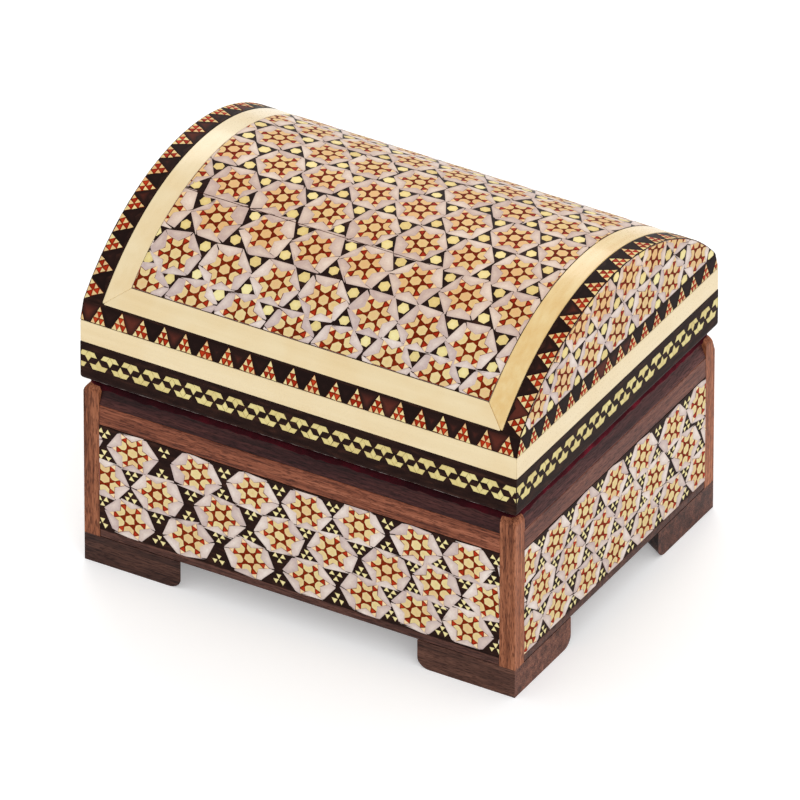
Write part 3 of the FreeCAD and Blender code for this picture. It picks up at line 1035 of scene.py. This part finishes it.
def finish_cloth(name, mesh, material, body):
    """Makes a piece of cloth from a sheet, with a cloth's thickness."""
    bmesh.ops.remove_doubles(mesh, verts=mesh.verts, dist=0.01 * MM)
    bmesh.ops.recalc_face_normals(mesh, faces=mesh.faces)
    piece = add_piece(name, mesh, material, body, 60)
    thick = piece.modifiers.new("thickness", "SOLIDIFY")
    thick.thickness = VELVET_THICKNESS * MM
    thick.offset = 0
    return piece


def ruffled(x, y, z, amount):
    """A small uneven shift, the same each time for the same place."""
    return amount * noise.noise(Vector((x, y, z)) * 0.55)


def rim_section():
    """The lining's section: up the wall, over the rim and down its slope."""
    core_face = -rail_high.y - room_y
    slope = (case_half_width + rail_high.y) / (rim_top - rail_high.z)
    foot, rise = case_floor + LINING_FOOT, rim_top - ROLL_START - case_floor
    section = [(-VELVET_OFFSET, foot + rise * i / WALL_STEPS) for i in range(WALL_STEPS + 1)]
    section += [(out, rim_top + up) for out, up in RIM_ROLL]
    off_out, off_up = (share * VELVET_OFFSET for share in OFF_SLOPE)
    section += [(core_face + drop * slope + off_out, rim_top - drop + off_up) for drop in FOLD_DROPS]
    return section


def lining_column(section, place):
    """One column of the lining; place gives X and Y for a distance out from the room's wall."""
    column = []
    for out, height in section:
        x, y = place(out)
        y = min(y, lining_back - BACK_GAP)
        low_edge = height < rim_top - LOW_EDGE and out > 0
        column.append((x, y, height + ruffled(x, y, height, LOW_EDGE_RUFFLE if low_edge else RUFFLE)))
    return column


def case_lining(material, fold_material, end_fold_material):
    """Velvet on the walls, over the rim and down its slope; at the back it ends under the lid."""
    top = rim_top + VELVET_OFFSET
    section = rim_section()
    over_post = section[:-len(FOLD_DROPS)] + [(out, top - depth) for out, depth in POST_FOLD]
    flat_back = [(min(out, BACK_REACH), height if out < FOLD_START else top) for out, height in section]
    run_x, run_y = room_x - CORNER_RUN, room_y - CORNER_RUN
    leaf_low, leaf_high = size("hinge_base_leaf_right")
    cut_start, cut_end = leaf_low.x - HINGE_GAP, leaf_high.x + HINGE_GAP

    def corner_radius(out):
        return max(CORNER_RADIUS, out - CORNER_GROWTH)

    def corner_columns(sign_x, sign_y, from_x):
        """Columns round one corner, from X to Y or the other way."""

        def straight(share, along_x):
            def place(out):
                x, y = room_x + out, room_y + out
                if along_x:
                    x = run_x + (x - corner_radius(out) - run_x) * share
                else:
                    y = run_y + (y - corner_radius(out) - run_y) * share
                return (sign_x * x, sign_y * y)
            return place

        def bent(angle):
            def place(out):
                radius = corner_radius(out)
                x = room_x + out - radius + radius * math.sin(angle)
                y = room_y + out - radius + radius * math.cos(angle)
                return (sign_x * x, sign_y * y)
            return place

        plain, by_post = (flat_back, flat_back) if sign_y > 0 else (section, over_post)
        made = [lining_column(plain, straight(share, True)) for share in CORNER_SHARES]
        made.append(lining_column(by_post, straight(POST_SHARE, True)))
        made += [lining_column(over_post, bent(math.radians(angle))) for angle in range(0, 91, 15)]
        made.append(lining_column(over_post, straight(POST_SHARE, False)))
        made += [lining_column(section, straight(share, False)) for share in CORNER_SHARES[::-1]]
        return made if from_x else made[::-1]

    across, deep = evenly(run_x, steps=36), evenly(run_y, steps=28)
    back_places = sorted({*across, -cut_end, -cut_start, cut_start, cut_end}, reverse=True)
    columns = [lining_column(section, lambda out, x=x: (x, -room_y - out)) for x in across]
    columns += corner_columns(1, -1, True)
    columns += [lining_column(section, lambda out, y=y: (room_x + out, y)) for y in deep]
    columns += corner_columns(1, 1, False)
    columns += [lining_column(flat_back, lambda out, x=x: (x, room_y + out)) for x in back_places]
    columns += corner_columns(-1, 1, True)
    columns += [lining_column(section, lambda out, y=y: (-room_x - out, y)) for y in deep[::-1]]
    columns += corner_columns(-1, -1, False)
    mesh = stitched(columns, closed=True)
    at_hinges = []
    for face in mesh.faces:
        middle = face.calc_center_median() / MM
        if cut_start < abs(middle.x) < cut_end and middle.y > room_y + HINGE_CUT_START:
            at_hinges.append(face)
    bmesh.ops.delete(mesh, geom=at_hinges, context="FACES")
    piece = finish_cloth("velvet_case", mesh, material, "base")
    piece.data.materials.append(fold_material)
    piece.data.materials.append(end_fold_material)
    # Painted shade: the fold down the rim's slope takes darker velvet for the gap under the lid, a little
    # less dark on the ends.
    for polygon in piece.data.polygons:
        x, y, z = polygon.center / MM
        if z > rail_high.z and abs(x) > room_x + END_FOLD_START:
            polygon.material_index = 2
        elif z > rail_high.z and abs(y) > room_y + FOLD_START:
            polygon.material_index = 1
    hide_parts("base_lining")


def floor_pad(material):
    """A thin crowned pad on the floor, with soft edges."""
    low, high = size("floor_pad")
    gap, foot_gap, ruffle = 0.1, 0.05, 0.07
    edge_share, crown_share, flatness = 0.45, 0.5, 10
    count_x, count_y = 64, 52
    reach_x, reach_y, thickness = high.x - gap, high.y - gap, high.z - low.z

    def spread(i, count):
        return math.sin(math.pi / 2 * (2 * i / count - 1))

    columns = []
    for u in (spread(i, count_x) for i in range(count_x + 1)):
        column = []
        for v in (spread(j, count_y) for j in range(count_y + 1)):
            crown = (1 - u ** flatness) * (1 - v ** flatness)
            x, y = reach_x * u, reach_y * v
            z = low.z + thickness * (edge_share + crown_share * crown) + ruffled(x, y, 0, ruffle) * crown
            column.append((x, y, z))
        columns.append(column)
    mesh = stitched(columns)
    corners = mesh.verts[:]
    grid = [corners[i:i + count_y + 1] for i in range(0, len(corners), count_y + 1)]
    edge = [line[0] for line in grid] + grid[-1][1:] + [line[-1] for line in grid[-2::-1]] + grid[0][-2:0:-1]
    foot = [mesh.verts.new((vertex.co.x, vertex.co.y, (low.z + foot_gap) * MM)) for vertex in edge]
    for i in range(len(edge)):
        mesh.faces.new((edge[i - 1], foot[i - 1], foot[i], edge[i]))
    mesh.faces.new(foot[::-1])
    bmesh.ops.recalc_face_normals(mesh, faces=mesh.faces)
    piece = add_piece("velvet_floor_pad", mesh, material, "base", 50)
    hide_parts("floor_pad")


def lid_lining(material):
    """Velvet in the lid: one sheet over the vault and down both rails, and one on each end."""
    wall = room_y - VELVET_OFFSET
    foot = lid_lining_low.z + LINING_FOOT
    reach = lid_lining_high.z - vault_centre - VELVET_OFFSET
    turn = math.asin(wall / reach)
    spring = vault_centre + reach * math.cos(turn)
    rise_steps, end_steps = 8, 20
    rise = [foot + (spring - foot) * i / rise_steps for i in range(rise_steps)]
    arc = [(reach * math.sin(a), vault_centre + reach * math.cos(a)) for a in evenly(turn, steps=20)]
    section = [(-wall, z) for z in rise] + arc + [(wall, z) for z in rise[::-1]]
    half = room_x - 2 * VELVET_OFFSET
    columns = []
    for x in evenly(half, steps=24):
        shifts = [(ruffled(x, y, z, LID_RUFFLE), ruffled(z, x, y, LID_RUFFLE)) for y, z in section]
        columns.append([(x, y + dy, z + dz) for (y, z), (dy, dz) in zip(section, shifts)])
    vault = finish_cloth("velvet_lid_vault", stitched(columns), material, "lid")
    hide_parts("lid_lining")
    inner = reach - VELVET_OFFSET
    edge = wall - VELVET_OFFSET
    for end, side in ((1, "right"), (-1, "left")):
        columns = []
        for y in evenly(edge, end_steps):
            top = vault_centre + math.sqrt(inner ** 2 - y ** 2)
            heights = [foot + (top - foot) * j / end_steps for j in range(end_steps + 1)]
            depths = [room_x - VELVET_OFFSET + ruffled(y, z, end, LID_RUFFLE) for z in heights]
            columns.append([(end * x, y, z) for x, z in zip(depths, heights)])
        cloth = finish_cloth("velvet_lid_end_" + side, stitched(columns), material, "lid")
        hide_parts("lid_lining")


# Studio, in metres

FLOOR_REACH = 3.0
FLOOR_GREY = (0.95, 0.95, 0.95, 1)
FLOOR_GLOW = 0.25


def studio_floor():
    """A plain white floor that keeps the box's soft shadow."""
    mesh = bpy.data.meshes.new("floor")
    corners = [(x * FLOOR_REACH, y * FLOOR_REACH, 0) for x, y in rectangle(1, -1, 1)]
    mesh.from_pydata(corners, [], [(0, 1, 2, 3)])
    look = Look("floor_white", 0.9, specular=0.0)
    look.set(Base_Color=FLOOR_GREY, Emission_Color=WHITE)
    look.link(look.math("MULTIPLY", look.seeing_rays(), FLOOR_GLOW), look.shader, "Emission Strength")
    mesh.materials.append(look.material)
    floor = new_object("floor", mesh)


def studio_world(light):
    """White surroundings that light the box evenly; the camera sees them plain white."""
    world = bpy.data.worlds.new("studio")
    scene.world = world
    world.use_nodes = True
    background = world.node_tree.nodes["Background"]
    background.inputs["Color"].default_value = WHITE
    tree = Tree(world.node_tree)
    tree.link(tree.range(tree.seeing_rays(), light, 1.0), background, "Strength")


def softbox(name, place, aim, width, height, power):
    """A large soft lamp that the camera doesn't see."""
    data = bpy.data.lights.new(name, "AREA")
    data.shape = "RECTANGLE"
    data.size, data.size_y = width, height
    data.energy = power
    lamp = new_object(name, data)
    lamp.location = place
    lamp.rotation_euler = (Vector(aim) - Vector(place)).to_track_quat("-Z", "Y").to_euler()
    lamp.visible_camera = False


def photo_camera():
    """The camera at the photo's angle: a very long lens, nearly without perspective."""
    azimuth, elevation, roll = math.radians(30.15), math.radians(33.07), math.radians(0.11)
    distance = 4.130
    target_height = 0.03194
    target_side = 0.00005
    turn = Matrix.Rotation(azimuth, 4, "Z") @ Matrix.Rotation(math.pi / 2 - elevation, 4, "X")
    place = turn @ Vector((target_side, 0, distance)) + Vector((0, 0, target_height))
    data = bpy.data.cameras.new("photo_camera")
    data.sensor_width = 36.0
    data.lens = 924.2
    data.clip_end = 50.0
    camera = new_object("photo_camera", data)
    camera.matrix_world = Matrix.Translation(place) @ turn @ Matrix.Rotation(roll, 4, "Z")
    scene.camera = camera


dress_nodes()
soften_nodes()
star_panels()
star_vault()
star_tympana()
triangle_bands()
arch_bands()
chain_bands()
crimson = velvet("velvet_crimson", (60, 4, 14), (88, 8, 22), (114, 14, 32), sheen=0.3)
# Painted shade of the gap under the lid on the fold at front and back, and less dark on the ends.
gap_shaded_crimson = velvet("velvet_rim", (34, 3, 9), (52, 5, 14), (78, 9, 22), sheen=0.1)
end_gap_shaded_crimson = velvet("velvet_rim_end", (46, 5, 13), (76, 11, 25), (128, 26, 46), sheen=0.15)
case_lining(crimson, gap_shaded_crimson, end_gap_shaded_crimson)
floor_pad(crimson)
lid_lining(crimson)
studio_floor()
studio_world(light=0.84)
softbox("key", place=(1.35, -1.3, 1.0), aim=(0, 0, 0.04), width=1.2, height=1.2, power=10)
softbox("ridge", place=(-1.0, 1.8, 1.5), aim=(0, 0, 0.06), width=1.6, height=1.0, power=14)
photo_camera()
scene.view_settings.view_transform = "Standard"
